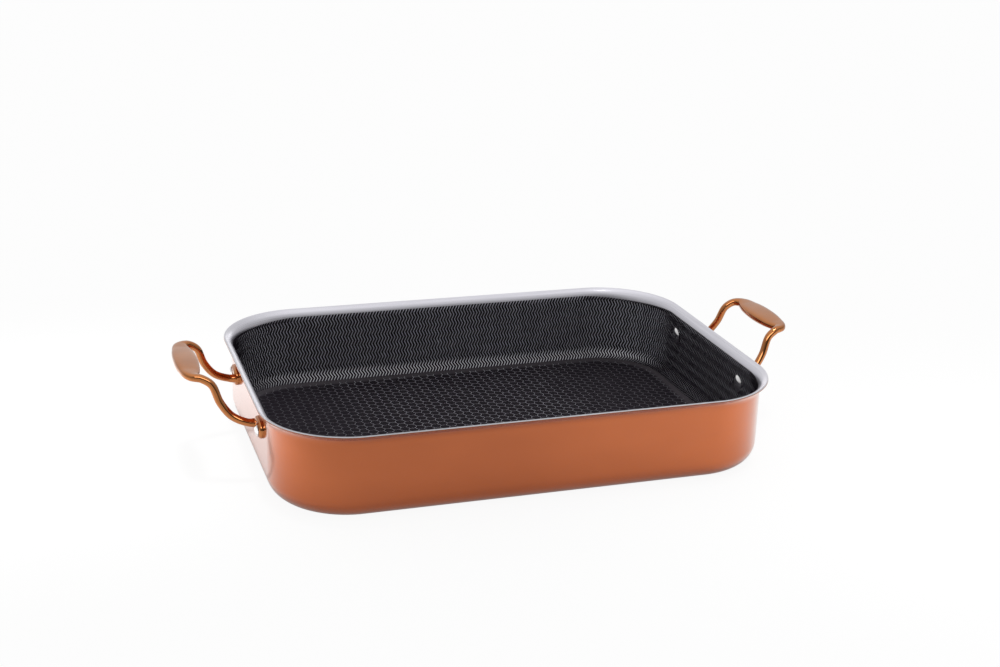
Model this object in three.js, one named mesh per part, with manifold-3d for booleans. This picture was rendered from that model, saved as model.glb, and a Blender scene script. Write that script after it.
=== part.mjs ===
// Roasting pan: a deep-drawn tub of bonded plies with a flared pouring lip and a non-stick inside,
// carried by two cast loop handles that are each held to an end wall by two domed rivets.
// Millimetres, +Z up. The origin is on the table under the middle of the pan, +X points at the
// right handle and the long front wall faces -Y.
import * as THREE from "three";
import { mergeVertices } from "three/addons/utils/BufferGeometryUtils.js";
import Module from "manifold-3d";

// Tub, measured over the lip
const LIP_LENGTH = 400;
const LIP_WIDTH = 286;
const LIP_CORNER_RADIUS = 66;
const PAN_HEIGHT = 68;

// Lip: the wall bends outwards and ends in a short straight land
const FLARE_WIDTH = 6;
const FLARE_BEND_RADIUS = 8.4;
const FLARE_ANGLE = THREE.MathUtils.degToRad(65);

// Outer rounding between the wall and the base
const BASE_EDGE_RADIUS = 16;

// Plies from the outside in
const OUTER_PLY = 0.4;
const CORE_PLY = 0.8;
const LINER_PLY = 0.4;
const COATING = 0.1;

// The coating runs a little way into the bend of the lip and leaves the rest of it bare steel
const COATED_BEND = THREE.MathUtils.degToRad(20);

// Rivets, two to each end wall
const RIVET_SPREAD = 120;
const RIVET_DROP = 22.5;
const RIVET_SHANK_RADIUS = 3;
const RIVET_HOLE_CLEARANCE = 0.3;
const OUTER_HEAD_RADIUS = 5;
const OUTER_HEAD_RISE = 1.6;
const INNER_HEAD_RADIUS = 6.8;
const INNER_HEAD_RISE = 2.4;
const HEAD_EDGE = 0.5;

// Handle feet: a flat oval flange under each rivet head, with the arm rooted beside the rivet
const FLANGE_LENGTH = 23;
const FLANGE_HEIGHT = 14;
const FLANGE_THICKNESS = 3.5;
const FLANGE_EDGE = 0.8;
const FLANGE_SHIFT = 4.5;
const ARM_INSET = 13;

// Handle arms and grip. Out is measured from the wall's outer face, rise from the rivets
const ARM_DIAMETER = 6;
const ROOT_FLARE = 0.9;
const STUB_OUT = 8;
const ELBOW_OUT = 19.2;
const ELBOW_RISE = 6;
const SHANK_OUT = 27.3;
const SHANK_RISE = 16.5;
const SHOULDER_OUT = 32.8;
const SHOULDER_RISE = 30;
const ARM_LEAN = 7;
const GRIP_OUT = 46.3;
const GRIP_RISE = 35.3;
const GRIP_LENGTH = 80;
const GRIP_WIDTH = 18.5;
const GRIP_THICKNESS = 7.6;
const GRIP_TILT = THREE.MathUtils.degToRad(7);
const GRIP_SQUARENESS = 2.6;

// Facets
const CORNER_STEPS = 8;
const BASE_EDGE_STEPS = 6;
const COATED_BEND_STEPS = 1;
const BARE_BEND_STEPS = 3;
const DOME_STEPS = 4;
const RIVET_SIDES = 18;
const RING_POINTS = 16;
const HANDLE_STEPS = 24;

// Worked out from the sizes above
const WALL = OUTER_PLY + CORE_PLY + LINER_PLY;
const WALL_X = LIP_LENGTH / 2 - FLARE_WIDTH;
const WALL_Y = LIP_WIDTH / 2 - FLARE_WIDTH;
const WALL_CORNER_RADIUS = LIP_CORNER_RADIUS - FLARE_WIDTH;
const BEND_REACH = FLARE_BEND_RADIUS * (1 - Math.cos(FLARE_ANGLE));
const LIP_LAND = (FLARE_WIDTH - BEND_REACH) / Math.sin(FLARE_ANGLE);
const BEND_DROP = (FLARE_BEND_RADIUS + WALL) * Math.sin(FLARE_ANGLE);
const FLARE_START = PAN_HEIGHT - BEND_DROP - LIP_LAND * Math.cos(FLARE_ANGLE);
const RIVET_Y = RIVET_SPREAD / 2;
const RIVET_Z = PAN_HEIGHT - RIVET_DROP;

const wasm = await Module();
wasm.setup();

// A closed geometry as a solid that can be joined and cut
function toSolid(geometry) {
  const bare = new THREE.BufferGeometry();
  bare.setAttribute("position", geometry.getAttribute("position"));
  bare.setIndex(geometry.getIndex());
  const merged = mergeVertices(bare, 1e-4);
  const index = merged.index.array;
  const faces = [];
  for (let i = 0; i < index.length; i += 3) {
    const [a, b, c] = index.subarray(i, i + 3);
    if (a !== b && b !== c && c !== a) faces.push(a, b, c);
  }
  const mesh = new wasm.Mesh({
    numProp: 3,
    vertProperties: merged.attributes.position.array,
    triVerts: new Uint32Array(faces),
  });
  return new wasm.Manifold(mesh);
}

function toGeometry(solid) {
  const mesh = solid.getMesh();
  const geometry = new THREE.BufferGeometry();
  geometry.setAttribute("position", new THREE.BufferAttribute(mesh.vertProperties, 3));
  geometry.setIndex(new THREE.BufferAttribute(mesh.triVerts, 1));
  geometry.computeVertexNormals();
  return geometry;
}

// A skin over a stack of rings with equal numbers of points, closed by a flat cap at each end
function loft(rings) {
  const count = rings[0].length;
  const faces = [];
  for (let r = 0; r + 1 < rings.length; r++) {
    for (let i = 0; i < count; i++) {
      const a = r * count + i;
      const b = r * count + ((i + 1) % count);
      faces.push(a, b, b + count, a, b + count, a + count);
    }
  }
  const last = (rings.length - 1) * count;
  for (let i = 1; i + 1 < count; i++) {
    faces.push(0, i + 1, i);
    faces.push(last, last + i, last + i + 1);
  }
  const geometry = new THREE.BufferGeometry().setFromPoints(rings.flat());
  geometry.setIndex(faces);
  return geometry;
}

// Points along a circular arc in a plane
function arc(x, y, radius, from, to, steps) {
  return new THREE.EllipseCurve(x, y, radius, radius, from, to, to < from).getPoints(steps);
}

// Plan outline of the tub, standing out from the wall's outer face by the given distance
function tubRing(out, z) {
  const x = WALL_X - WALL_CORNER_RADIUS;
  const y = WALL_Y - WALL_CORNER_RADIUS;
  const radius = WALL_CORNER_RADIUS + out;
  const outline = [
    ...arc(x, y, radius, 0, 0.5 * Math.PI, CORNER_STEPS),
    ...arc(-x, y, radius, 0.5 * Math.PI, Math.PI, CORNER_STEPS),
    ...arc(-x, -y, radius, Math.PI, 1.5 * Math.PI, CORNER_STEPS),
    ...arc(x, -y, radius, 1.5 * Math.PI, 2 * Math.PI, CORNER_STEPS),
  ];
  return outline.map((p) => new THREE.Vector3(p.x, p.y, z));
}

// Section through base edge and wall at a depth below the pan's outer face, up to where the
// coating ends in the bend of the lip
function coatedSection(depth) {
  const edge = BASE_EDGE_RADIUS;
  const bend = FLARE_BEND_RADIUS;
  return [
    ...arc(-edge, edge, edge - depth, -0.5 * Math.PI, 0, BASE_EDGE_STEPS),
    ...arc(bend, FLARE_START, bend + depth, Math.PI, Math.PI - COATED_BEND, COATED_BEND_STEPS),
  ];
}

// The same section carried on to the edge of the lip
function wallSection(depth) {
  const bend = FLARE_BEND_RADIUS;
  const from = Math.PI - COATED_BEND;
  const bare = arc(bend, FLARE_START, bend + depth, from, Math.PI - FLARE_ANGLE, BARE_BEND_STEPS);
  const land = new THREE.Vector2(Math.sin(FLARE_ANGLE), Math.cos(FLARE_ANGLE));
  const edge = bare.at(-1).clone().addScaledVector(land, LIP_LAND);
  return [...coatedSection(depth), ...bare.slice(1), edge];
}

// The rivet holes of both end walls, as two long pins across the whole pan
function rivetHoles() {
  const radius = RIVET_SHANK_RADIUS + RIVET_HOLE_CLEARANCE;
  const pin = new THREE.CylinderGeometry(radius, radius, 2 * LIP_LENGTH, RIVET_SIDES);
  pin.rotateZ(0.5 * Math.PI);
  const front = toSolid(pin.clone().translate(0, -RIVET_Y, RIVET_Z));
  const rear = toSolid(pin.clone().translate(0, RIVET_Y, RIVET_Z));
  return front.add(rear);
}

// One layer of the tub between two depths, drilled for the rivets
function layerGeometry(section, outerDepth, innerDepth) {
  const rings = (depth) => section(depth).map((p) => tubRing(p.x, p.y));
  const shell = loft([...rings(outerDepth), ...rings(innerDepth).reverse()]);
  return toGeometry(toSolid(shell).subtract(rivetHoles()));
}

// A rivet on its own axis, height 0 at the wall's outer face: inner dome, shank, outer dome
function rivetGeometry() {
  const outerSeat = FLANGE_THICKNESS;
  const innerSeat = -(WALL + COATING);
  const outerEdge = outerSeat + HEAD_EDGE;
  const innerEdge = innerSeat - HEAD_EDGE;
  const outerCrown = outerEdge + OUTER_HEAD_RISE;
  const innerCrown = innerEdge - INNER_HEAD_RISE;
  const profile = new THREE.Path();
  profile.moveTo(0, innerCrown);
  profile.quadraticCurveTo(0.75 * INNER_HEAD_RADIUS, innerCrown, INNER_HEAD_RADIUS, innerEdge);
  profile.lineTo(INNER_HEAD_RADIUS, innerSeat);
  profile.lineTo(RIVET_SHANK_RADIUS, innerSeat);
  profile.lineTo(RIVET_SHANK_RADIUS, outerSeat);
  profile.lineTo(OUTER_HEAD_RADIUS, outerSeat);
  profile.lineTo(OUTER_HEAD_RADIUS, outerEdge);
  profile.quadraticCurveTo(0.75 * OUTER_HEAD_RADIUS, outerCrown, 0, outerCrown);
  const rivet = new THREE.LatheGeometry(profile.getPoints(DOME_STEPS), RIVET_SIDES);
  return toGeometry(toSolid(rivet)).rotateZ(-0.5 * Math.PI);
}

// Centreline of half a handle, from the middle of the grip down to its root in the flange
function handleLine() {
  const arm = 0.5 * ARM_DIAMETER;
  const rootY = RIVET_Y - ARM_INSET;
  const armY = rootY - ARM_LEAN;
  const gripEnd = 0.5 * GRIP_LENGTH - arm;
  const at = (out, y, rise) => new THREE.Vector3(WALL_X + out, y, RIVET_Z + rise);
  return new THREE.CatmullRomCurve3([
    at(GRIP_OUT, 0, GRIP_RISE),
    at(GRIP_OUT, 0.5 * gripEnd, GRIP_RISE),
    at(GRIP_OUT - 0.3 * arm, gripEnd - arm, GRIP_RISE),
    at(0.5 * (GRIP_OUT + SHOULDER_OUT), armY - 0.6 * arm, GRIP_RISE - 0.2 * arm),
    at(SHOULDER_OUT, armY, SHOULDER_RISE),
    at(SHANK_OUT, armY + 0.35 * ARM_LEAN, SHANK_RISE),
    at(ELBOW_OUT, rootY - 0.3 * ARM_LEAN, ELBOW_RISE),
    at(STUB_OUT, rootY, 0.25 * arm),
    at(0.5 * FLANGE_THICKNESS, rootY, 0),
  ]);
}

// Rings of half a handle: round on the arm, widening to a flattened oval along the grip
function handleRings() {
  const line = handleLine();
  const arm = 0.5 * ARM_DIAMETER;
  const across = new THREE.Vector3(Math.cos(GRIP_TILT), 0, Math.sin(GRIP_TILT));
  const rings = [];
  for (let step = 0; step <= HANDLE_STEPS; step++) {
    const centre = line.getPointAt(step / HANDLE_STEPS);
    const along = line.getTangentAt(step / HANDLE_STEPS);
    across.addScaledVector(along, -across.dot(along)).normalize();
    const up = new THREE.Vector3().crossVectors(along, across);
    const out = centre.x - WALL_X;
    const share = Math.min(1, centre.y / (0.5 * GRIP_LENGTH));
    const onGrip = out > SHOULDER_OUT ? Math.sqrt(1 - share * share) : 0;
    const spread = ROOT_FLARE * Math.max(0, 1 - out / STUB_OUT);
    const width = Math.max(arm, 0.5 * GRIP_WIDTH * onGrip) + spread;
    const thick = Math.max(arm, 0.5 * GRIP_THICKNESS * onGrip) + spread;
    const power = 2 / THREE.MathUtils.lerp(2, GRIP_SQUARENESS, onGrip);
    const ring = [];
    for (let i = 0; i < RING_POINTS; i++) {
      const c = Math.cos((2 * Math.PI * i) / RING_POINTS);
      const s = Math.sin((2 * Math.PI * i) / RING_POINTS);
      const point = centre.clone();
      point.addScaledVector(across, width * Math.sign(c) * Math.abs(c) ** power);
      point.addScaledVector(up, thick * Math.sign(s) * Math.abs(s) ** power);
      ring.push(point);
    }
    rings.push(ring);
  }
  return rings;
}

// The flat oval foot that seats on the wall under one rivet, its outer edge rounded off
function flangeGeometry(side) {
  const radius = 0.5 * FLANGE_HEIGHT;
  const half = 0.5 * FLANGE_LENGTH - radius;
  const middle = side * (RIVET_Y - FLANGE_SHIFT);
  const ring = (out, inset) => {
    const outline = [
      ...arc(middle + half, RIVET_Z, radius - inset, -0.5 * Math.PI, 0.5 * Math.PI, CORNER_STEPS),
      ...arc(middle - half, RIVET_Z, radius - inset, 0.5 * Math.PI, 1.5 * Math.PI, CORNER_STEPS),
    ];
    return outline.map((p) => new THREE.Vector3(WALL_X + out, p.x, p.y));
  };
  const shoulder = FLANGE_THICKNESS - FLANGE_EDGE;
  return loft([
    ring(0, 0),
    ring(shoulder, 0),
    ring(shoulder + 0.7 * FLANGE_EDGE, 0.3 * FLANGE_EDGE),
    ring(FLANGE_THICKNESS, FLANGE_EDGE),
  ]);
}

// The right-hand handle: loop and both feet in one casting, drilled for its rivets
function handleGeometry() {
  const rings = handleRings();
  const mirrored = rings.slice(1).reverse();
  const front = mirrored.map((ring) => ring.map((p) => new THREE.Vector3(p.x, -p.y, p.z)));
  const loop = toSolid(loft([...front, ...rings]));
  const feet = toSolid(flangeGeometry(-1)).add(toSolid(flangeGeometry(1)));
  return toGeometry(loop.add(feet).subtract(rivetHoles()));
}

const copper = new THREE.MeshStandardMaterial({ color: 0xb5683f, roughness: 0.22, metalness: 1 });
const castCopper = new THREE.MeshStandardMaterial({ color: 0xc8783c, roughness: 0.14, metalness: 1 });
const aluminium = new THREE.MeshStandardMaterial({ color: 0xb9bcc0, roughness: 0.4, metalness: 1 });
const steel = new THREE.MeshStandardMaterial({ color: 0xc8c8cd, roughness: 0.25, metalness: 1 });
const nonStick = new THREE.MeshStandardMaterial({ color: 0x18171a, roughness: 0.45, metalness: 0 });

const group = new THREE.Group();
group.name = "roasting_pan";

function addPiece(name, geometry, material) {
  const piece = new THREE.Mesh(geometry, material);
  piece.name = name;
  group.add(piece);
  return piece;
}

addPiece("outer_shell", layerGeometry(wallSection, 0, OUTER_PLY), copper);
addPiece("aluminium_core", layerGeometry(wallSection, OUTER_PLY, OUTER_PLY + CORE_PLY), aluminium);
addPiece("steel_liner", layerGeometry(wallSection, OUTER_PLY + CORE_PLY, WALL), steel);
addPiece("nonstick_coating", layerGeometry(coatedSection, WALL, WALL + COATING), nonStick);

const handle = handleGeometry();
addPiece("right_handle", handle, castCopper);
addPiece("left_handle", handle.clone(), castCopper).rotation.z = Math.PI;

const rivet = rivetGeometry();
for (const [end, turn] of [["left", Math.PI], ["right", 0]]) {
  for (const [row, side] of [["front", -1], ["rear", 1]]) {
    const piece = addPiece(`rivet_${end}_${row}`, rivet.clone(), steel);
    piece.position.set(end === "left" ? -WALL_X : WALL_X, side * RIVET_Y, RIVET_Z);
    piece.rotation.z = turn;
  }
}

export default group;
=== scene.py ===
# %% [markdown]
# # A copper roasting pan with cast handles
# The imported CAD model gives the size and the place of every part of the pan.
# This lesson loads it as a fixed frame, then models a finer piece for each part.
# All lengths are written in millimetres, as on a drawing, and MM turns them into metres.

# %% Load the frame
import math

import bmesh
import bpy
from mathutils import Matrix, Vector
from mathutils.geometry import interpolate_bezier


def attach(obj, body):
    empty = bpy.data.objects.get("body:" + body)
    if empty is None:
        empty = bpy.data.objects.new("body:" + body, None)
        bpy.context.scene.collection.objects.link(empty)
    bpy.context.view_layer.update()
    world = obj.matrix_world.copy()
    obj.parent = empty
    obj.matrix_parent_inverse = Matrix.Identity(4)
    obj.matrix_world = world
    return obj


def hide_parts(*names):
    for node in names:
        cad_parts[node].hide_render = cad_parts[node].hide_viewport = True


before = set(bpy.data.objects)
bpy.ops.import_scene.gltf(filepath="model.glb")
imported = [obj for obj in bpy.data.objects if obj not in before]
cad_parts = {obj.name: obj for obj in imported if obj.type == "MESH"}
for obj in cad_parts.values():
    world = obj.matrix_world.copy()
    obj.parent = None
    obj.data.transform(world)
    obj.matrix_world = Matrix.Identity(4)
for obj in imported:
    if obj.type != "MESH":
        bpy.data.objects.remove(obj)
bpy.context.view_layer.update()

MM = 0.001
print("nodes of the frame:", sorted(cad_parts))

# %% [markdown]
# ## Camera
# The pan is seen from the front left and from above.
# A camera can be aimed with Euler angles, but yaw, pitch and roll are easier to read here:
# they give the three axes of the camera, which are the columns of its rotation matrix.

# %% Camera
EYE = Vector((-364.2, -1092.9, 485.9)) * MM
YAW = math.radians(18.803)
PITCH = math.radians(19.249)
ROLL = math.radians(1.81)
FOCAL_PIXELS = 1531.4
IMAGE_PIXELS = 1000
SENSOR_WIDTH = 36.0
NEAREST = 0.01
FARTHEST = 100


def camera_axes():
    ahead = Vector((math.sin(YAW), math.cos(YAW), -math.tan(PITCH))).normalized()
    level = Vector((math.cos(YAW), -math.sin(YAW), 0))
    roll = Matrix.Rotation(ROLL, 3, -ahead)
    return roll @ level, roll @ level.cross(ahead), -ahead


camera_data = bpy.data.cameras.new("camera")
camera_data.sensor_width = SENSOR_WIDTH
camera_data.lens = FOCAL_PIXELS / IMAGE_PIXELS * SENSOR_WIDTH
camera_data.clip_start = NEAREST
camera_data.clip_end = FARTHEST
camera = bpy.data.objects.new("camera", camera_data)
camera.matrix_world = Matrix(camera_axes()).transposed().to_4x4()
camera.location = EYE
bpy.context.scene.collection.objects.link(camera)
bpy.context.scene.camera = camera
print(f"camera lens {camera_data.lens:.1f} mm")

# %% [markdown]
# ## Helpers for pieces
# A piece is drawn in a bmesh, turned into a mesh, hung from the root, and the CAD nodes that it
# stands for are hidden.
# Smooth shading hides the facets, and edges sharper than a set angle stay crisp.

# %% Piece helpers
SHARP_ANGLE = math.radians(35)


def piece_from(bm, name, finish):
    mesh = bpy.data.meshes.new(name)
    bm.to_mesh(mesh)
    bm.free()
    mesh.shade_smooth()
    mesh.set_sharp_from_angle(angle=SHARP_ANGLE)
    mesh.materials.append(finish)
    piece = bpy.data.objects.new(name, mesh)
    bpy.context.scene.collection.objects.link(piece)
    return piece


def fit_to_frame(piece, slot, *nodes):
    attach(piece, "root")
    if nodes:
        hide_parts(*nodes)
    print(f"{piece.name}: {len(piece.data.polygons)} faces")


print(f"edges sharper than {math.degrees(SHARP_ANGLE):.0f} degrees stay crisp")

# %% [markdown]
# ## Helpers for finishes
# Every finish starts from the Principled shader and reads Object coordinates in metres.
# A noise texture that is squeezed along one axis turns into brush marks along the others,
# so marks that change only with height run round the pan, as a polishing belt leaves them.
# A finish can also change with height, or from the middle of the pan to its ends:
# Map Range turns a span of one coordinate into a smooth climb,
# and a little noise on top keeps the climb from looking drawn with a ruler.

# %% Finish helpers
GRAIN_SPAN = (0.3, 0.7)
CLIMB_SPAN = (0.08, 0.9)
GRAIN_IN_CLIMB = 0.25


class Finish:
    """A material with its Principled shader at hand."""

    def __init__(self, name, metallic):
        self.material = bpy.data.materials.new(name)
        self.material.use_nodes = True
        self.tree = self.material.node_tree
        self.shader = self.tree.nodes["Principled BSDF"]
        self.shader.inputs["Metallic"].default_value = metallic
        print("finish:", name)

    def node(self, kind, **settings):
        made = self.tree.nodes.new("ShaderNode" + kind)
        for key, value in settings.items():
            setattr(made, key, value)
        return made

    def link(self, source, target):
        self.tree.links.new(source, target)

    def noise(self, across, upright=None, detail=2.0, roughness=0.5):
        """Noise with so many waves to a metre across, and another count upright if given."""
        coordinates = self.node("TexCoord")
        mapping = self.node("Mapping")
        mapping.inputs["Scale"].default_value = (across, across, upright or across)
        noise = self.node("TexNoise")
        noise.inputs["Scale"].default_value = 1.0
        noise.inputs["Detail"].default_value = detail
        noise.inputs["Roughness"].default_value = roughness
        self.link(coordinates.outputs["Object"], mapping.inputs["Vector"])
        self.link(mapping.outputs["Vector"], noise.inputs["Vector"])
        return noise.outputs["Fac"]

    def climb(self, grain, low, high, axis="Z"):
        """A smooth climb between two distances from the origin, with some grain in it."""
        coordinates = self.node("TexCoord")
        parts = self.node("SeparateXYZ")
        distance = self.node("Math", operation="ABSOLUTE")
        climb = self.node("MapRange", interpolation_type="SMOOTHSTEP")
        climb.inputs["From Min"].default_value = low
        climb.inputs["From Max"].default_value = high
        climb.inputs["To Max"].default_value = 1 - GRAIN_IN_CLIMB
        total = self.node("Math", operation="MULTIPLY_ADD")
        total.inputs[1].default_value = GRAIN_IN_CLIMB
        self.link(coordinates.outputs["Object"], parts.inputs["Vector"])
        self.link(parts.outputs[axis], distance.inputs[0])
        self.link(distance.outputs[0], climb.inputs["Value"])
        self.link(grain, total.inputs[0])
        self.link(climb.outputs["Result"], total.inputs[2])
        return total.outputs[0]

    def colours(self, factor, start, end, span=GRAIN_SPAN):
        ramp = self.node("ValToRGB")
        for stop, place, colour in zip(ramp.color_ramp.elements, span, (start, end)):
            stop.position = place
            stop.color = (*colour, 1)
        self.link(factor, ramp.inputs["Fac"])
        self.link(ramp.outputs["Color"], self.shader.inputs["Base Color"])

    def roughness(self, factor, low, high):
        span = self.node("MapRange")
        span.inputs["From Min"].default_value, span.inputs["From Max"].default_value = GRAIN_SPAN
        span.inputs["To Min"].default_value = low
        span.inputs["To Max"].default_value = high
        self.link(factor, span.inputs["Value"])
        self.link(span.outputs["Result"], self.shader.inputs["Roughness"])

    def relief(self, factor, strength, depth):
        bump = self.node("Bump")
        bump.inputs["Strength"].default_value = strength
        bump.inputs["Distance"].default_value = depth * MM
        self.link(factor, bump.inputs["Height"])
        self.link(bump.outputs["Normal"], self.shader.inputs["Normal"])

    def lacquer(self, weight, roughness):
        self.shader.inputs["Coat Weight"].default_value = weight
        self.shader.inputs["Coat Roughness"].default_value = roughness


print(f"grain makes {GRAIN_IN_CLIMB:.0%} of a climb")

# %% [markdown]
# ## Satin copper
# The outside is copper, belt-polished round the pan and then lacquered.
# One slow noise gives the warm clouds of the metal, and one squeezed noise the belt marks.
# The lacquer is the shader's own coat, so it needs no second surface.

# %% Satin copper
satin_copper = Finish("satin_copper", metallic=1.0)
satin_copper.colours(
    satin_copper.noise(9, 22, detail=3),
    start=(0.46, 0.105, 0.0195), end=(0.525, 0.125, 0.026),
)
belt_marks = satin_copper.noise(14, 2600, detail=4, roughness=0.6)
satin_copper.roughness(belt_marks, low=0.17, high=0.23)
satin_copper.relief(belt_marks, strength=0.03, depth=0.02)
satin_copper.lacquer(weight=1.0, roughness=0.06)

# %% [markdown]
# ## Polished copper
# The handles are cast and then polished bright.
# A casting is never quite even, so a slow, shallow relief bends its reflections a little.
# A perfectly smooth shader would be simpler, but its reflections would look too clean for metal.

# %% Polished copper
polished_copper = Finish("polished_copper", metallic=1.0)
polished_copper.colours(
    polished_copper.noise(60, detail=3),
    start=(0.42, 0.15, 0.042), end=(0.49, 0.182, 0.056),
)
polished_copper.roughness(polished_copper.noise(420, detail=4), low=0.05, high=0.10)
polished_copper.relief(polished_copper.noise(130, detail=2), strength=0.25, depth=0.12)
polished_copper.lacquer(weight=0.4, roughness=0.04)

# %% [markdown]
# ## Brushed steel
# The lip is the bare steel lining, satin-brushed along its length.
# Brush marks are far longer than they are wide, so the noise is squeezed upright.
# The same marks drive the gloss and a shallow relief, because a scratch changes both.

# %% Brushed steel
brushed_steel = Finish("brushed_steel", metallic=1.0)
brushed_steel.colours(
    brushed_steel.noise(12, 900, detail=4),
    start=(0.60, 0.592, 0.64), end=(0.69, 0.68, 0.735),
)
lip_marks = brushed_steel.noise(10, 3200, detail=4, roughness=0.65)
brushed_steel.roughness(lip_marks, low=0.24, high=0.40)
brushed_steel.relief(lip_marks, strength=0.12, depth=0.02)

# %% [markdown]
# ## Steel of the patterns
# Inside the pan the steel shows only as thin lines in the black, and it is etched dull.
# The lines of the floor carry a painted highlight: their colour is brightest in the middle and
# turns grey towards the two ends.
# The lines of the walls are glossier low on the bend and dull above, and their colour is painted:
# grey on the bend as painted shade, bright above as painted light.
# A painted mask could say where, but a climb along one coordinate is shorter and never blurs.

# %% Steel of the patterns
# Painted highlight: span along X over which the floor lines' colour fades from bright to grey
FLOOR_LINES_PAINTED_HIGHLIGHT_FADE = (60 * MM, 140 * MM)
# Painted shade and light: heights over which the wall lines' colour climbs from grey to bright
WALL_LINES_PAINTED_LIGHT_CLIMB = (4.5 * MM, 9.5 * MM)
WALL_LINES_DULL = (11 * MM, 14 * MM)

etched_steel = Finish("etched_steel", metallic=1.0)
# Painted highlight: the floor lines' colour is bright in the middle and grey towards the ends
etched_steel.colours(
    etched_steel.climb(etched_steel.noise(25, detail=3), *FLOOR_LINES_PAINTED_HIGHLIGHT_FADE, axis="X"),
    start=(0.82, 0.82, 0.87), end=(0.40, 0.40, 0.43), span=CLIMB_SPAN,
)
etched_steel.roughness(etched_steel.noise(900, detail=3), low=0.82, high=0.92)

zigzag_steel = Finish("zigzag_steel", metallic=1.0)
# Painted shade and light: the wall lines' colour is grey low on the bend and bright above
zigzag_steel.colours(
    zigzag_steel.climb(zigzag_steel.noise(25, detail=3), *WALL_LINES_PAINTED_LIGHT_CLIMB),
    start=(0.42, 0.42, 0.45), end=(0.85, 0.85, 0.90), span=CLIMB_SPAN,
)
zigzag_grain = zigzag_steel.noise(900, detail=3)
zigzag_steel.roughness(zigzag_steel.climb(zigzag_grain, *WALL_LINES_DULL), low=0.5, high=0.87)

# %% [markdown]
# ## Rivet steel and aluminium
# The rivets are steel, set by hammering and then polished, so their heads are faintly uneven.
# The aluminium shows only as a line in the cut edge of the lip, so a plain rolled grain will do.

# %% Rivet steel and aluminium
rivet_steel = Finish("rivet_steel", metallic=1.0)
rivet_steel.colours(
    rivet_steel.noise(300, detail=3),
    start=(0.84, 0.83, 0.83), end=(0.92, 0.91, 0.91),
)
rivet_steel.roughness(rivet_steel.noise(800, detail=4), low=0.08, high=0.14)
rivet_steel.relief(rivet_steel.noise(350, detail=2), strength=0.2, depth=0.05)

core_aluminium = Finish("core_aluminium", metallic=1.0)
core_aluminium.colours(
    core_aluminium.noise(40, 2000, detail=3),
    start=(0.66, 0.67, 0.69), end=(0.76, 0.77, 0.79),
)
core_aluminium.roughness(core_aluminium.noise(30, 3000, detail=3), low=0.30, high=0.45)

# %% [markdown]
# ## Non-stick black
# The coating is sprayed and baked, so it is a satin black with a fine orange-peel grain.
# On the bend at the edge of the floor the colour is painted greyer, a painted sheen where the
# coating reflects the light.
# Walls and floor share the grain and the gloss, so one function makes both and only colours differ.

# %% Non-stick black
# Painted sheen: heights over which the floor coating's colour climbs from black to grey
FLOOR_PAINTED_SHEEN_CLIMB = (1.72 * MM, 2.9 * MM)
COATING_SHINE = 0.02


def sprayed_black(name):
    coating = Finish(name, metallic=0.0)
    coating.roughness(coating.noise(500, detail=4), low=0.45, high=0.60)
    coating.relief(coating.noise(2200, detail=2), strength=0.25, depth=0.03)
    coating.shader.inputs["Specular IOR Level"].default_value = COATING_SHINE
    return coating


black_coating = sprayed_black("black_coating")
black_coating.colours(
    black_coating.noise(70, detail=4),
    start=(0.0128, 0.0102, 0.0145), end=(0.017, 0.0136, 0.019),
)
floor_black = sprayed_black("floor_black")
# Painted sheen: the floor coating's colour turns greyer on the bend
floor_black.colours(
    floor_black.climb(floor_black.noise(70, detail=4), *FLOOR_PAINTED_SHEEN_CLIMB),
    start=(0.0148, 0.0122, 0.0164), end=(0.056, 0.05, 0.057), span=CLIMB_SPAN,
)

# %% [markdown]
# ## Section of the tub
# A press draws the tub from one flat blank of clad sheet, so every layer follows one section:
# a rounded base edge, an upright wall and a lip that bends outwards.
# The section is drawn once as a line of edges: spinning a vertex makes an arc,
# and a spin with no turn but a shift makes a straight run.

# %% Section of the tub
WALL_X = 194 * MM
WALL_Y = 137 * MM
WALL_CORNER = 60 * MM
BASE_EDGE = 16 * MM
FLARE_BEND = 8.4 * MM
FLARE_ANGLE = math.radians(65)
FLARE_START = 58.4 * MM
LIP_LAND = 1.27 * MM
CORNER_X = WALL_X - WALL_CORNER
CORNER_Y = WALL_Y - WALL_CORNER
BASE_CENTRE = (WALL_X - BASE_EDGE, 0, BASE_EDGE)
FLARE_CENTRE = (WALL_X + FLARE_BEND, 0, FLARE_START)
BASE_STEPS = 14
FLARE_STEPS = 16
ORIGIN = (0, 0, 0)
ACROSS_Y = (0, 1, 0)
UPRIGHT = (0, 0, 1)
QUARTER_TURN = math.pi / 2


def turn(bm, geom, centre, axis, angle, steps, shift=ORIGIN, copies=False):
    """Extrudes or repeats geometry round an axis."""
    spun = bmesh.ops.spin(
        bm, geom=geom, cent=centre, axis=axis, dvec=shift, angle=angle, steps=steps,
        use_duplicate=copies,
    )
    return spun["geom_last"]


def run(bm, geom, shift, steps=1, copies=False):
    """Extrudes or repeats geometry along a straight shift."""
    return turn(bm, geom, ORIGIN, UPRIGHT, 0, steps, shift, copies)


def whole_section(bm, foot, land=LIP_LAND):
    """Draws the section from the edge of the floor up to the edge of the lip."""
    tip = turn(bm, foot, BASE_CENTRE, ACROSS_Y, -QUARTER_TURN, BASE_STEPS)
    tip = run(bm, tip, (0, 0, FLARE_START - BASE_EDGE))
    tip = turn(bm, tip, FLARE_CENTRE, ACROSS_Y, FLARE_ANGLE, FLARE_STEPS)
    run(bm, tip, (land * math.sin(FLARE_ANGLE), 0, land * math.cos(FLARE_ANGLE)))


print(f"the lip starts {FLARE_START / MM:.1f} mm above the table")

# %% [markdown]
# ## Sweeping the section round the pan
# The tub is the same in all four quarters.
# So one quarter is swept: along half of an end wall, round a corner and along half of a long wall.
# Two mirrors complete the bowl, the floor closes it, and Solidify gives the layer its thickness.
# A box with bevelled edges could be bent to this shape, but a sweep keeps the section exact.

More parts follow.
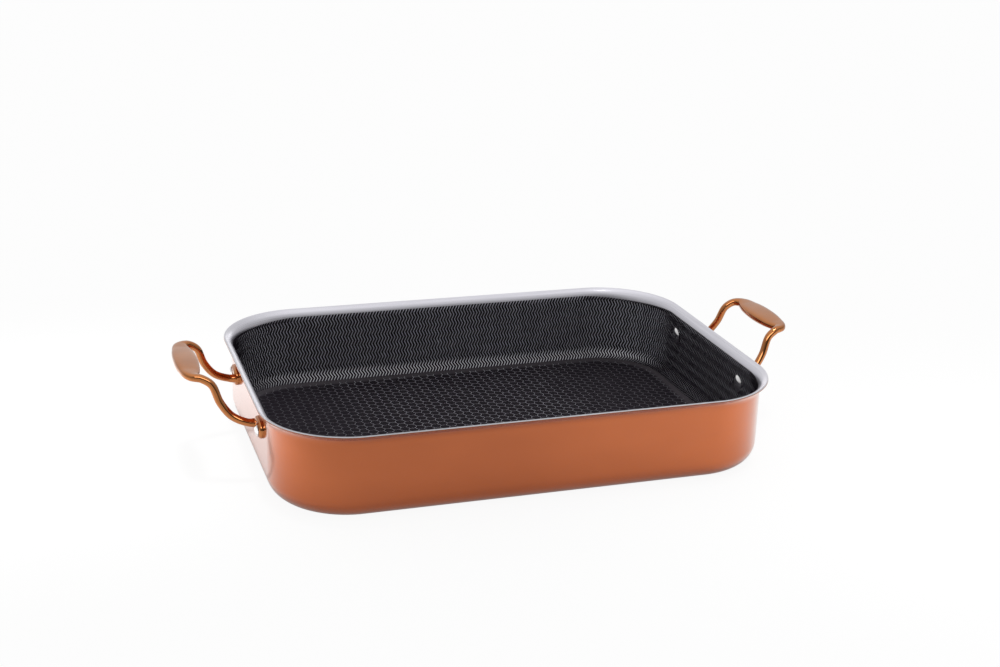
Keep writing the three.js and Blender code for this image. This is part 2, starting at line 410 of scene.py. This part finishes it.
# %% Sweep a layer
CORNER_STEPS = 28
WELD = 1e-6


def everything(bm):
    return bm.verts[:] + bm.edges[:] + bm.faces[:]


def mirror_over(bm, axis):
    bmesh.ops.mirror(bm, geom=everything(bm), matrix=Matrix(), merge_dist=WELD, axis=axis)


def sweep_round(bm):
    """Sweeps a section that stands at the middle of the right wall once round the pan."""
    front = run(bm, bm.verts[:] + bm.edges[:], (0, CORNER_Y, 0))
    front = turn(bm, front, (CORNER_X, CORNER_Y, 0), UPRIGHT, QUARTER_TURN, CORNER_STEPS)
    run(bm, front, (-CORNER_X, 0, 0))
    for axis in ("X", "Y"):
        mirror_over(bm, axis)
    bmesh.ops.remove_doubles(bm, verts=bm.verts[:], dist=WELD)


def close_floor(bm):
    """Fills the hole in the middle and turns every face outwards."""
    lowest = min(v.co.z for v in bm.verts)
    rim = [e for e in bm.edges if max(v.co.z for v in e.verts) < lowest + WELD]
    bmesh.ops.edgeloop_fill(bm, edges=rim)
    bmesh.ops.recalc_face_normals(bm, faces=bm.faces[:])
    if max(bm.faces, key=lambda face: face.calc_area()).normal.z > 0:
        bmesh.ops.reverse_faces(bm, faces=bm.faces[:])


def layer(name, finish, depth, thickness, draw_section):
    bm = bmesh.new()
    foot = bmesh.ops.create_vert(bm, co=(WALL_X - BASE_EDGE, 0, depth))["vert"]
    draw_section(bm, foot)
    sweep_round(bm)
    close_floor(bm)
    piece = piece_from(bm, name, finish.material)
    wall = piece.modifiers.new("thickness", "SOLIDIFY")
    wall.thickness = thickness
    wall.offset = -1
    wall.use_even_offset = True
    return piece


print(f"the floor is {2 * (WALL_X - BASE_EDGE) / MM:.0f} mm long inside its rounded edge")

# %% [markdown]
# ## The clad sheet
# Three metals are rolled into one sheet:
# copper outside, aluminium to spread the heat, and steel inside.
# Each is its own layer, so the cut edge of the lip shows all three, as the real edge does.
# The core stands a hair proud at the edge and the two faces are rounded back with a Bevel.

# %% The clad sheet
COPPER_PLY = 0.7 * MM
CORE_PLY = 0.5 * MM
LINER_PLY = 0.4 * MM
LINER_ROUNDING = 0.14 * MM
COPPER_ROUNDING = 0.5 * MM
ROUNDING_STEPS = 2
ROUNDED_FROM = math.radians(60)
CORE_PROUD = 0.05 * MM


def round_edge(piece, width):
    rounding = piece.modifiers.new("rounded edge", "BEVEL")
    rounding.width = width
    rounding.segments = ROUNDING_STEPS
    rounding.limit_method = "ANGLE"
    rounding.angle_limit = ROUNDED_FROM


def proud_section(bm, foot):
    whole_section(bm, foot, land=LIP_LAND + CORE_PROUD)


copper_shell = layer("copper_shell", satin_copper, 0, COPPER_PLY, whole_section)
round_edge(copper_shell, COPPER_ROUNDING)
fit_to_frame(copper_shell, "copper", "outer_shell")

core_sheet = layer("core_sheet", core_aluminium, COPPER_PLY, CORE_PLY, proud_section)
fit_to_frame(core_sheet, "aluminium", "aluminium_core")

liner_depth = COPPER_PLY + CORE_PLY
steel_lining = layer("steel_lining", brushed_steel, liner_depth, LINER_PLY, whole_section)
round_edge(steel_lining, LINER_ROUNDING)
fit_to_frame(steel_lining, "steel", "steel_liner")

# %% [markdown]
# ## Etched steel
# Only the lip of the lining is left bare and satin.
# Below it the steel is etched dull, so that the coating holds.
# The lining gets a second material, and each face picks one of the two by its height.
# At the four corners the bare lip reaches lower, because the coating ends lower there.
# A second mesh could lie on top instead, but one mesh with two materials shows no gap.

# %% Etched steel
COATED_BEND = math.radians(22)
LIP_HEIGHT = FLARE_START + FLARE_BEND * math.sin(COATED_BEND)


def at_corner(place):
    """How far a place lies out from the axis of the nearest corner, along X and along Y."""
    return Vector((abs(place.x) - CORNER_X, abs(place.y) - CORNER_Y))


steel_lining.data.materials.append(zigzag_steel.material)
bare_faces = 0
for face in steel_lining.data.polygons:
    bare_from = FLARE_START if min(at_corner(face.center)) > 0 else LIP_HEIGHT
    bare = face.center.z > bare_from
    face.material_index = 0 if bare else 1
    bare_faces += bare
print(f"bare steel on {bare_faces} faces of the lip")

# %% [markdown]
# ## Coating of the floor
# The coating lies on the floor as one sheet, which climbs a little way up the rounded base edge.
# It is one more layer of the same section, cut short where the pattern of the walls begins.

# %% Coating of the floor
LINER_FACE = COPPER_PLY + CORE_PLY + LINER_PLY
COATING = 0.1 * MM
PATTERN_CHANGE = math.radians(35.5)
FLOOR_EDGE_STEPS = 5


def floor_section(bm, foot):
    turn(bm, foot, BASE_CENTRE, ACROSS_Y, -PATTERN_CHANGE, FLOOR_EDGE_STEPS)


floor_coating = layer("floor_coating", floor_black, LINER_FACE, COATING, floor_section)
fit_to_frame(floor_coating, "non_stick", "nonstick_coating")

# %% [markdown]
# ## Sheet of honeycomb
# The steel shows through the floor coating as a fine honeycomb.
# One hexagon is inset, which leaves a frame of thin lines, and its inside is taken out.
# The frame is repeated into rows and columns, and the shared corners are merged.
# Real lines make the pattern a shape of its own, where a bump map would vanish at the outline.

# %% Sheet of honeycomb
CELL_SIDE = 4.38 * MM
CELL_HEIGHT = math.sqrt(3) * CELL_SIDE
COLUMN_PITCH = 3 * CELL_SIDE
SAME_CORNER = CELL_SIDE / 200
SLANTED_LINE = 0.19 * MM
CROSS_LINE = 0.09 * MM
FLOOR_TOP = LINER_FACE + COATING


def hexagon_frame(bm, place):
    flat_top = place @ Matrix.Rotation(math.pi / 6, 4, "Z")
    bmesh.ops.create_circle(bm, cap_ends=True, segments=6, radius=CELL_SIDE, matrix=flat_top)
    cell = bm.faces[:]
    bmesh.ops.inset_individual(bm, faces=cell, thickness=SLANTED_LINE / 2, use_even_offset=True)
    taller = (CELL_HEIGHT - CROSS_LINE) / (CELL_HEIGHT - SLANTED_LINE)
    bmesh.ops.scale(bm, vec=(1, taller, 1), space=place.inverted(), verts=cell[0].verts[:])
    bmesh.ops.delete(bm, geom=cell, context="FACES_ONLY")


def hexagon_sheet():
    bm = bmesh.new()
    columns = math.ceil(WALL_X / COLUMN_PITCH)
    rows = math.ceil(WALL_Y / CELL_HEIGHT)
    first_cell = (-COLUMN_PITCH * columns, -CELL_HEIGHT * rows, FLOOR_TOP)
    hexagon_frame(bm, Matrix.Translation(first_cell))
    run(bm, bm.faces[:], (0, CELL_HEIGHT, 0), 2 * rows, copies=True)
    run(bm, bm.faces[:], (COLUMN_PITCH, 0, 0), 2 * columns, copies=True)
    run(bm, bm.faces[:], (COLUMN_PITCH / 2, CELL_HEIGHT / 2, 0), copies=True)
    bmesh.ops.remove_doubles(bm, verts=bm.verts[:], dist=SAME_CORNER)
    return bm


honeycomb = hexagon_sheet()
print(f"sheet of honeycomb: {len(honeycomb.faces)} faces before the trim")

# %% [markdown]
# ## Honeycomb on the floor
# The sheet of lines is trimmed to the rounded floor by planes that stand all round it,
# raised by the thickness of a line, and bent up the base edge like the coating.
# A Boolean with a block of the floor's shape could trim it too, but planes leave cleaner cuts.

# %% Honeycomb on the floor
LINE_HEIGHT = 0.04 * MM
FLOOR_CORNER = WALL_CORNER - BASE_EDGE
BEND_RADIUS = BASE_EDGE - FLOOR_TOP
HONEYCOMB_CLIMB = math.radians(23)
TRIM_STEP = 10


def trim_to_floor(bm):
    reach = FLOOR_CORNER + BEND_RADIUS * HONEYCOMB_CLIMB
    for degrees in range(0, 360, TRIM_STEP):
        out = Vector((math.cos(math.radians(degrees)), math.sin(math.radians(degrees)), 0))
        centre = Vector((math.copysign(CORNER_X, out.x), math.copysign(CORNER_Y, out.y), 0))
        bmesh.ops.bisect_plane(
            bm, geom=everything(bm), plane_co=centre + reach * out, plane_no=out, clear_outer=True
        )


def raise_lines(bm):
    raised = bmesh.ops.extrude_face_region(bm, geom=bm.faces[:], use_keep_orig=True)["geom"]
    tops = [v for v in raised if isinstance(v, bmesh.types.BMVert)]
    bmesh.ops.translate(bm, vec=(0, 0, LINE_HEIGHT), verts=tops)
    bmesh.ops.recalc_face_normals(bm, faces=bm.faces[:])


def held_within(value, limit):
    return max(-limit, min(limit, value))


def bend_up_edge(bm):
    """Bends the sheet up the rounded base edge wherever it reaches past the flat of the floor."""
    for vert in bm.verts:
        flat = Vector((held_within(vert.co.x, CORNER_X), held_within(vert.co.y, CORNER_Y), 0))
        out = Vector((vert.co.x, vert.co.y, 0)) - flat
        past = out.length - FLOOR_CORNER
        if past > 0:
            angle = past / BEND_RADIUS
            radius = BASE_EDGE - vert.co.z
            vert.co = flat + out.normalized() * (FLOOR_CORNER + radius * math.sin(angle))
            vert.co.z = BASE_EDGE - radius * math.cos(angle)


trim_to_floor(honeycomb)
raise_lines(honeycomb)
bend_up_edge(honeycomb)
floor_honeycomb = piece_from(honeycomb, "floor_honeycomb", etched_steel.material)
fit_to_frame(floor_honeycomb, "steel")

# %% [markdown]
# ## One rib of the wall coating
# On the walls the coating stands in close zigzag ribs,
# and the etched steel shows as bright lines between them.
# One rib is walked up the section: its outline is spun round the base edge and run up the wall,
# and every few millimetres it changes the side that it leans to.
# Above the base edge it gets a little narrower, so the lines are finer on the bend than above.

# %% One zigzag rib
LINES_ON_END = 57
LINES_ON_CORNER = 34
LINES_ON_SIDE = 100
LINE_PITCH = 2 * CORNER_X / LINES_ON_SIDE
WALL_LINE = 0.82 * MM
BEND_LINE = 0.68 * MM
RIB_HEIGHT = 0.34 * MM
RIB_SLOPE = 0.12 * MM
ZIGZAG_SWING = 2.15 * MM
BASE_LEGS = 4
WALL_LEGS = 10
BEND_STEPS = 3


def rib_outline(bm):
    """Outline of the rib across its run: low and flat, a little narrower at its crest."""
    foot_width = LINE_PITCH - BEND_LINE
    start = (WALL_X - BASE_EDGE, (ZIGZAG_SWING - foot_width) / 2, LINER_FACE - COATING)
    tip = bmesh.ops.create_vert(bm, co=start)["vert"]
    rise = RIB_HEIGHT + COATING
    crest = foot_width - 2 * RIB_SLOPE
    for shift in ((0, RIB_SLOPE, rise), (0, crest, 0), (0, RIB_SLOPE, -rise)):
        tip = run(bm, tip, shift)
    bm.verts.ensure_lookup_table()
    bm.edges.new((bm.verts[-1], bm.verts[0]))
    lean_back = Matrix.Rotation(-PATTERN_CHANGE, 3, "Y")
    bmesh.ops.rotate(bm, cent=BASE_CENTRE, matrix=lean_back, verts=bm.verts[:])
    return bm.edges[:]


def narrow(bm, edges, share):
    """Narrows the newest outline about its own middle."""
    ring = [part for part in edges if isinstance(part, bmesh.types.BMVert)]
    middle = sum((vert.co for vert in ring), Vector()) / len(ring)
    bmesh.ops.scale(bm, vec=(1, share, 1), space=Matrix.Translation(-middle), verts=ring)


def zigzag_rib():
    bm = bmesh.new()
    edges = rib_outline(bm)
    bmesh.ops.edgeloop_fill(bm, edges=edges)
    side = -1
    for _ in range(BASE_LEGS):
        lean = (0, side * ZIGZAG_SWING / BEND_STEPS, 0)
        angle = (PATTERN_CHANGE - QUARTER_TURN) / BASE_LEGS
        edges = turn(bm, edges, BASE_CENTRE, ACROSS_Y, angle, BEND_STEPS, lean)
        side = -side
    narrow(bm, edges, (LINE_PITCH - WALL_LINE) / (LINE_PITCH - BEND_LINE))
    for _ in range(WALL_LEGS):
        edges = run(bm, edges, (0, side * ZIGZAG_SWING, (FLARE_START - BASE_EDGE) / WALL_LEGS))
        side = -side
    lean = (0, side * ZIGZAG_SWING / BEND_STEPS, 0)
    edges = turn(bm, edges, FLARE_CENTRE, ACROSS_Y, COATED_BEND, BEND_STEPS, lean)
    bmesh.ops.edgeloop_fill(bm, edges=[e for e in edges if isinstance(e, bmesh.types.BMEdge)])
    bmesh.ops.recalc_face_normals(bm, faces=bm.faces[:])
    return bm


zigzag = zigzag_rib()
print(f"one zigzag rib: {len(zigzag.faces)} faces")

# %% [markdown]
# ## Repeating the rib
# The finished rib is repeated along the right wall, round a corner,
# along the back wall and round the next corner.
# A half turn of all of these makes the other half of the pan.
# An Array modifier could repeat it along one wall, but not round the corners as well.
# At the corners the top ends of the ribs are then turned back, so the coating dips there.

# %% Repeat the rib round the pan
CORNER_DIP = 0.6


def dip_at_corners(bm):
    """Turns the ribs' top ends back round the lip's bend, most in the middle of a corner."""
    bend_axis = FLARE_CENTRE[0] - CORNER_X
    for vert in bm.verts:
        out = at_corner(vert.co)
        if min(out) <= 0 or vert.co.z <= FLARE_START:
            continue
        middle = 2 * out.x * out.y / out.length_squared
        arm = Vector((bend_axis - out.length, vert.co.z - FLARE_START))
        angle = math.atan2(arm.y, arm.x) * (1 - CORNER_DIP * middle)
        reach = (bend_axis - arm.length * math.cos(angle)) / out.length
        vert.co.x = math.copysign(CORNER_X + out.x * reach, vert.co.x)
        vert.co.y = math.copysign(CORNER_Y + out.y * reach, vert.co.y)
        vert.co.z = FLARE_START + arm.length * math.sin(angle)


def ribs_round_corner(bm, rib, corner_x, ribs):
    angle = QUARTER_TURN * ribs / LINES_ON_CORNER
    return turn(bm, rib, (corner_x, CORNER_Y, 0), UPRIGHT, angle, ribs, copies=True)


bmesh.ops.translate(zigzag, vec=(0, -CORNER_Y, 0), verts=zigzag.verts[:])
end_pitch = 2 * CORNER_Y / LINES_ON_END
rib = run(zigzag, everything(zigzag), (0, end_pitch, 0), LINES_ON_END, copies=True)
rib = ribs_round_corner(zigzag, rib, CORNER_X, LINES_ON_CORNER)
rib = run(zigzag, rib, (-LINE_PITCH, 0, 0), LINES_ON_SIDE, copies=True)
ribs_round_corner(zigzag, rib, -CORNER_X, LINES_ON_CORNER - 1)
turn(zigzag, everything(zigzag), ORIGIN, UPRIGHT, math.pi, 1, copies=True)
dip_at_corners(zigzag)
wall_coating = piece_from(zigzag, "wall_coating", black_coating.material)
fit_to_frame(wall_coating, "non_stick", "nonstick_coating")

# %% [markdown]
# ## Rivets
# Each handle is held by two solid rivets with a low dome outside and a wider dome inside the pan.
# Half of the outline is drawn from crown to crown, then spun once round the rivet's axis.
# A cylinder with two flattened spheres would also do, but the outline gives one closed skin.

# %% Rivets
RIVET_Y = 60 * MM
RIVET_Z = 45.5 * MM
SHANK_RADIUS = 3 * MM
OUTER_EDGE = 0.5 * MM
INNER_EDGE = 1.3 * MM
FLANGE_THICKNESS = 3.5 * MM
OUTER_HEAD = (5.3 * MM, 1.6 * MM)
INNER_HEAD = (7 * MM, 2.2 * MM)
DOME_STEPS = 8
RIVET_STEPS = 40
ALONG_X = (1, 0, 0)
SIDES = (("right", 0), ("left", math.pi))
ENDS = (("front", -1), ("rear", 1))


def dome(radius, rise):
    """Radius of the ball that a dome is cut from, and the angle from its crown to its edge."""
    ball = (radius**2 + rise**2) / (2 * rise)
    return ball, math.asin(radius / ball)


def rivet_outline(bm):
    outer_seat = WALL_X + FLANGE_THICKNESS
    inner_seat = WALL_X - LINER_FACE - COATING
    ball, angle = dome(*OUTER_HEAD)
    crown = outer_seat + OUTER_EDGE + OUTER_HEAD[1]
    tip = bmesh.ops.create_vert(bm, co=(crown, 0, 0))["vert"]
    tip = turn(bm, tip, (crown - ball, 0, 0), ACROSS_Y, -angle, DOME_STEPS)
    tip = run(bm, tip, (-OUTER_EDGE, 0, 0))
    tip = run(bm, tip, (0, 0, SHANK_RADIUS - OUTER_HEAD[0]))
    tip = run(bm, tip, (inner_seat - outer_seat, 0, 0))
    tip = run(bm, tip, (0, 0, INNER_HEAD[0] - SHANK_RADIUS))
    tip = run(bm, tip, (-INNER_EDGE, 0, 0))
    ball, angle = dome(*INNER_HEAD)
    crown = inner_seat - INNER_EDGE - INNER_HEAD[1]
    turn(bm, tip, (crown + ball, 0, 0), ACROSS_Y, -angle, DOME_STEPS)


def rivet_solid():
    bm = bmesh.new()
    rivet_outline(bm)
    bmesh.ops.spin(
        bm, geom=bm.verts[:] + bm.edges[:], cent=ORIGIN, axis=ALONG_X, angle=2 * math.pi,
        steps=RIVET_STEPS, use_merge=True,
    )
    bmesh.ops.remove_doubles(bm, verts=bm.verts[:], dist=WELD)
    bmesh.ops.recalc_face_normals(bm, faces=bm.faces[:])
    return bm


def turn_about(bm, angle):
    matrix = Matrix.Rotation(angle, 3, "Z")
    bmesh.ops.rotate(bm, cent=ORIGIN, matrix=matrix, verts=bm.verts[:])


for side, half_turn in SIDES:
    for end, across in ENDS:
        rivet = rivet_solid()
        place = (0, across * math.cos(half_turn) * RIVET_Y, RIVET_Z)
        bmesh.ops.translate(rivet, vec=place, verts=rivet.verts[:])
        turn_about(rivet, half_turn)
        piece = piece_from(rivet, f"{side}_{end}_rivet", rivet_steel.material)
        fit_to_frame(piece, "rivet_steel", f"rivet_{side}_{end}")

# %% [markdown]
# ## Line of a handle
# A handle rises from its foot on the wall in an S, turns over a shoulder
# and runs into a flat grip.
# The middle line of one half is a few points joined by Bezier spans.
# Their control points follow from the neighbouring points,
# so the line passes through every point without a kink.

# %% Line of a handle
SPAN_POINTS = 9

# out from the wall, along it, and above the rivets
HANDLE_POINTS = (
    (46.3, -18.5, 35.3),
    (46.3, 0, 35.3),
    (46.3, 18.5, 35.3),
    (45.4, 34, 35.3),
    (39.55, 38.2, 34.7),
    (32.8, 40, 30),
    (27.3, 42.45, 16.5),
    (19.2, 44.9, 6),
    (8, 47, 0.75),
    (1.75, 47, 0),
    (-4.5, 47, -0.75),
)


def bezier_handle(before, here, after):
    """Control point next to 'here' on the way to 'after'."""
    back = (here - before).length ** 0.5
    ahead = (after - here).length ** 0.5
    weight = 2 * back**2 + 3 * back * ahead + ahead**2
    return (back**2 * after - ahead**2 * before + weight * here) / (3 * back * (back + ahead))


def handle_line():
    knots = [Vector((out, along, rise)) * MM for out, along, rise in HANDLE_POINTS]
    line = []
    for before, here, after, beyond in zip(knots, knots[1:], knots[2:], knots[3:]):
        leave = bezier_handle(before, here, after)
        arrive = bezier_handle(beyond, after, here)
        line += interpolate_bezier(here, leave, arrive, after, SPAN_POINTS)[:-1]
    return line + [knots[-2]]


print(f"line of half a handle: {len(handle_line())} points")

# %% [markdown]
# ## Arm and grip
# A circle is placed at every point of the line, square to it, and neighbouring circles are bridged.
# Along the grip the circle is stretched wide and thin and squared off a little,
# which makes the flat thumb rest with its softly rounded rim.
# A bevelled curve would also make a tube, but its section could not go from round to flat.

# %% Arm and grip
GRIP_HALF = 40 * MM
GRIP_WIDTH = 9.25 * MM
GRIP_THICK = 3.8 * MM
GRIP_TILT = math.radians(7)
GRIP_SQUARENESS = 3.6
ROUND = 2
ARM_RADIUS = 3 * MM
SHOULDER_OUT = 32.8 * MM
STUB_OUT = 8 * MM
ROOT_FLARE = 0.9 * MM
RING_POINTS = 32


def place_ring(bm, centre, along, across):
    onward = min(1, abs(centre.y) / GRIP_HALF)
    on_grip = math.sqrt(1 - onward**2) if centre.x > SHOULDER_OUT else 0
    flare = ROOT_FLARE * max(0, 1 - centre.x / STUB_OUT)
    wide = max(ARM_RADIUS, GRIP_WIDTH * on_grip) + flare
    thick = max(ARM_RADIUS, GRIP_THICK * on_grip) + flare
    squareness = ROUND + (GRIP_SQUARENESS - ROUND) * on_grip
    ring = bmesh.ops.create_circle(bm, segments=RING_POINTS, radius=1)["verts"]
    for vert in ring:
        for axis, reach in ((0, wide), (1, thick)):
            share = vert.co[axis]
            vert.co[axis] = reach * math.copysign(abs(share) ** (ROUND / squareness), share)
    turned = Matrix((across, along.cross(across), along)).transposed().to_4x4()
    bmesh.ops.transform(bm, matrix=Matrix.Translation(centre) @ turned, verts=ring)
    return list(dict.fromkeys(edge for vert in ring for edge in vert.link_edges))


def half_handle():
    bm = bmesh.new()
    line = handle_line()
    across = Vector((math.cos(GRIP_TILT), 0, math.sin(GRIP_TILT)))
    rings = []
    for i, centre in enumerate(line):
        along = (line[min(i + 1, len(line) - 1)] - line[max(i - 1, 0)]).normalized()
        if i == 0:
            along = Vector(ACROSS_Y)
        across = (across - across.dot(along) * along).normalized()
        rings.append(place_ring(bm, centre, along, across))
    for here, after in zip(rings, rings[1:]):
        bmesh.ops.bridge_loops(bm, edges=here + after)
    bmesh.ops.edgeloop_fill(bm, edges=rings[-1])
    return bm


print(f"grip: {2 * GRIP_WIDTH / MM:.1f} mm wide, {2 * GRIP_THICK / MM:.1f} mm thick")

# %% [markdown]
# ## Foot of a handle
# The foot is an oval plate that lies flat on the end wall, with a softened front edge.
# A circle is pulled apart into an oval, extruded to its thickness, and its front edge is bevelled.
# A block with bevelled corners would do too, but the circle gives truly round ends.

# %% Foot of a handle
FOOT_RADIUS = 7 * MM
FOOT_HALF = 4.5 * MM
FOOT_SHIFT = 4.5 * MM
FOOT_EDGE = 2.6 * MM
FOOT_POINTS = 56
FOOT_EDGE_STEPS = 6
FOOT_Y = RIVET_Y - FOOT_SHIFT


def oval_plate(bm):
    to_wall = Matrix.Translation((0, FOOT_Y, 0)) @ Matrix.Rotation(QUARTER_TURN, 4, "Y")
    plate = bmesh.ops.create_circle(
        bm, cap_ends=True, segments=FOOT_POINTS, radius=FOOT_RADIUS, matrix=to_wall
    )["verts"]
    for sign in (-1, 1):
        end = [v for v in plate if sign * (v.co.y - FOOT_Y) > WELD]
        bmesh.ops.translate(bm, vec=(0, sign * FOOT_HALF, 0), verts=end)
    return plate[0].link_faces[0]


def add_foot(bm):
    back = oval_plate(bm)
    grown = bmesh.ops.extrude_face_region(bm, geom=[back], use_keep_orig=True)["geom"]
    front = [g for g in grown if isinstance(g, bmesh.types.BMFace)]
    bmesh.ops.translate(bm, vec=(FLANGE_THICKNESS, 0, 0), verts=front[0].verts[:])
    bmesh.ops.bevel(
        bm, geom=front[0].edges[:], affect="EDGES", offset=FOOT_EDGE, offset_type="OFFSET",
        segments=FOOT_EDGE_STEPS, profile=0.5, material=-1,
    )


print(f"foot of a handle: {2 * (FOOT_RADIUS + FOOT_HALF) / MM:.0f} mm long")

# %% [markdown]
# ## The two handles
# The arm ends inside the foot, as in one casting.
# Half a handle is mirrored to make a whole one, then set on the right wall,
# and turned about for the left.
# Two objects could share one mesh, but here every piece keeps its place in its own mesh.

# %% The two handles
handles = []


def whole_handle(half_turn):
    bm = half_handle()
    add_foot(bm)
    mirror_over(bm, "Y")
    bmesh.ops.remove_doubles(bm, verts=bm.verts[:], dist=WELD)
    bmesh.ops.recalc_face_normals(bm, faces=bm.faces[:])
    bmesh.ops.translate(bm, vec=(WALL_X, 0, RIVET_Z), verts=bm.verts[:])
    turn_about(bm, half_turn)
    return bm


for side, half_turn in SIDES:
    handle = piece_from(whole_handle(half_turn), f"{side}_cast_handle", polished_copper.material)
    fit_to_frame(handle, "cast_copper", f"{side}_handle")
    handles.append(handle)

# %% [markdown]
# ## Floor
# The pan stands on a plain white floor.
# Seen by the camera it is mostly plain white, with enough of the lit floor left for a soft shadow.
# In the metal it is mostly the lit floor, so that the copper mirrors the light that lies on it.
# From below it is clear, so that the underside can be looked at.
# A shadow catcher needs compositing, so the material itself decides what each kind of ray sees.

# %% Floor
FLOOR_SIZE = 12
FLOOR_DROP = 0.3 * MM
FLOOR_PAINT = (0.9, 0.9, 0.9, 1)
WHITE_TO_RAYS = {"Is Camera Ray": 0.93, "Is Glossy Ray": 0.2, "Is Transmission Ray": 0.1}


def white_share(tree):
    """How much of the plain white each kind of ray sees: all other rays see none of it."""
    path = tree.nodes.new("ShaderNodeLightPath")
    share = None
    for kind, amount in WHITE_TO_RAYS.items():
        part = tree.nodes.new("ShaderNodeMath")
        part.operation = "MULTIPLY_ADD"
        part.inputs[1].default_value = amount
        part.inputs[2].default_value = 0
        tree.links.new(path.outputs[kind], part.inputs[0])
        if share:
            tree.links.new(share, part.inputs[2])
        share = part.outputs[0]
    return share


def floor_finish():
    material = bpy.data.materials.new("studio_floor")
    material.use_nodes = True
    tree = material.node_tree
    nodes, links = tree.nodes, tree.links
    paint = nodes["Principled BSDF"]
    paint.inputs["Base Color"].default_value = FLOOR_PAINT
    paint.inputs["Roughness"].default_value = 1.0
    paint.inputs["Specular IOR Level"].default_value = 0.0
    glow = nodes.new("ShaderNodeEmission")
    mixed = nodes.new("ShaderNodeMixShader")
    links.new(white_share(tree), mixed.inputs["Fac"])
    links.new(paint.outputs["BSDF"], mixed.inputs[1])
    links.new(glow.outputs["Emission"], mixed.inputs[2])
    clear = nodes.new("ShaderNodeBsdfTransparent")
    geometry = nodes.new("ShaderNodeNewGeometry")
    sided = nodes.new("ShaderNodeMixShader")
    links.new(geometry.outputs["Backfacing"], sided.inputs["Fac"])
    links.new(mixed.outputs["Shader"], sided.inputs[1])
    links.new(clear.outputs["BSDF"], sided.inputs[2])
    links.new(sided.outputs["Shader"], nodes["Material Output"].inputs["Surface"])
    return material


ground = bmesh.new()
bmesh.ops.create_grid(ground, x_segments=1, y_segments=1, size=FLOOR_SIZE)
bmesh.ops.translate(ground, vec=(0, 0, -FLOOR_DROP), verts=ground.verts[:])
floor = piece_from(ground, "studio_floor", floor_finish())
print(f"floor: {2 * FLOOR_SIZE} m wide, {FLOOR_DROP / MM:.1f} mm below the pan")

# %% [markdown]
# ## Light of the room
# The light of a studio differs from side to side: here most comes from above and from the back,
# half as much from the left and the right, and next to none from the front.
# A picture of a room could give this light, but the copper would mirror all that is in it.
# So the world weighs five sides by how far a direction leans to each, which stays soft and even.
# The camera sees the world plain white, as a backdrop.

# %% World
ROOM_SIDES = (
    ("left", "X", -1.0, 0.5),
    ("right", "X", 1.0, 0.5),
    ("front", "Y", -1.0, 0.05),
    ("back", "Y", 1.0, 0.82),
    ("above", "Z", 1.0, 1.15),
)
LEAN_POWER = 2.0


def studio_world():
    world = bpy.data.worlds.new("studio")
    world.use_nodes = True
    nodes, links = world.node_tree.nodes, world.node_tree.links

    def sum_step(operation, first, second, third=0.0, clamp=False):
        step = nodes.new("ShaderNodeMath")
        step.operation = operation
        step.use_clamp = clamp
        for socket, value in zip(step.inputs, (first, second, third)):
            if isinstance(value, float):
                socket.default_value = value
            else:
                links.new(value, socket)
        return step.outputs[0]

    direction = nodes.new("ShaderNodeTexCoord")
    parts = nodes.new("ShaderNodeSeparateXYZ")
    links.new(direction.outputs["Generated"], parts.inputs[0])
    light = 0.0
    for side, axis, sign, level in ROOM_SIDES:
        leaning = sum_step("MULTIPLY", parts.outputs[axis], sign, clamp=True)
        share = sum_step("POWER", leaning, LEAN_POWER)
        light = sum_step("MULTIPLY_ADD", share, level, light)
        print(f"light of the room, {side}: {level}")
    path = nodes.new("ShaderNodeLightPath")
    seen = sum_step("MAXIMUM", light, path.outputs["Is Camera Ray"])
    links.new(seen, nodes["Background"].inputs["Strength"])
    nodes["Background"].inputs["Color"].default_value = (1, 1, 1, 1)
    return world


bpy.context.scene.world = studio_world()

# %% [markdown]
# ## Softboxes
# Two lamps hang over the floor, one beside the left end and one beside the front right corner.
# A grid keeps each beam narrow and straight down, which Blender calls the spread of a lamp.
# So each draws a pool of light on the white floor, and the copper mirrors the pools as soft glows.
# A lamp aimed at the copper itself would draw a hard spot instead.

# %% Softboxes


def area_lamp(name, place, power):
    lamp = bpy.data.objects.new(name, bpy.data.lights.new(name, "AREA"))
    lamp.data.energy = power
    lamp.location = place
    lamp.visible_camera = False
    bpy.context.scene.collection.objects.link(lamp)
    print(f"{name}: {power} W")
    return lamp


def softbox(name, place, width, power, spread, in_metal):
    lamp = area_lamp(name, place, power)
    lamp.data.size = width
    lamp.data.spread = math.radians(spread)
    lamp.visible_glossy = in_metal


softbox("left_side", (-0.37, 0.09, 1.2), width=0.4, power=0.42, spread=15, in_metal=False)
softbox("right_front", (0.36, -0.2, 1.2), width=0.3, power=0.38, spread=31, in_metal=True)

# %% [markdown]
# ## Strip lights
# A long softbox in front of the pan draws the bright streaks along the polished arms.
# A second one, low behind it, draws the bright line along the lip at the left end.
# Light linking keeps each to its own pieces:
# a lamp lights only the objects in its receiver collection.

# %% Strip lights


def strip_light(name, place, size, power, pieces):
    lamp = area_lamp(name, place, power)
    lamp.data.shape = "RECTANGLE"
    lamp.data.size, lamp.data.size_y = size
    lamp.rotation_euler = (-Vector(place)).to_track_quat("-Z", "Y").to_euler()
    receivers = bpy.data.collections.new(f"{name}_receivers")
    for piece in pieces:
        receivers.objects.link(piece)
    lamp.light_linking.receiver_collection = receivers


strip_light("handle_strip", (-0.15, -1.1, 0.95), size=(1.6, 0.5), power=9.0, pieces=handles)
strip_light("lip_strip", (0.9, 1.9, 0.35), size=(0.9, 0.5), power=1.3, pieces=[steel_lining])

# %% [markdown]
# ## Finish
# The view transform is set to Standard, so colours come out as they were written.

# %% Finish
bpy.context.scene.view_settings.view_transform = "Standard"
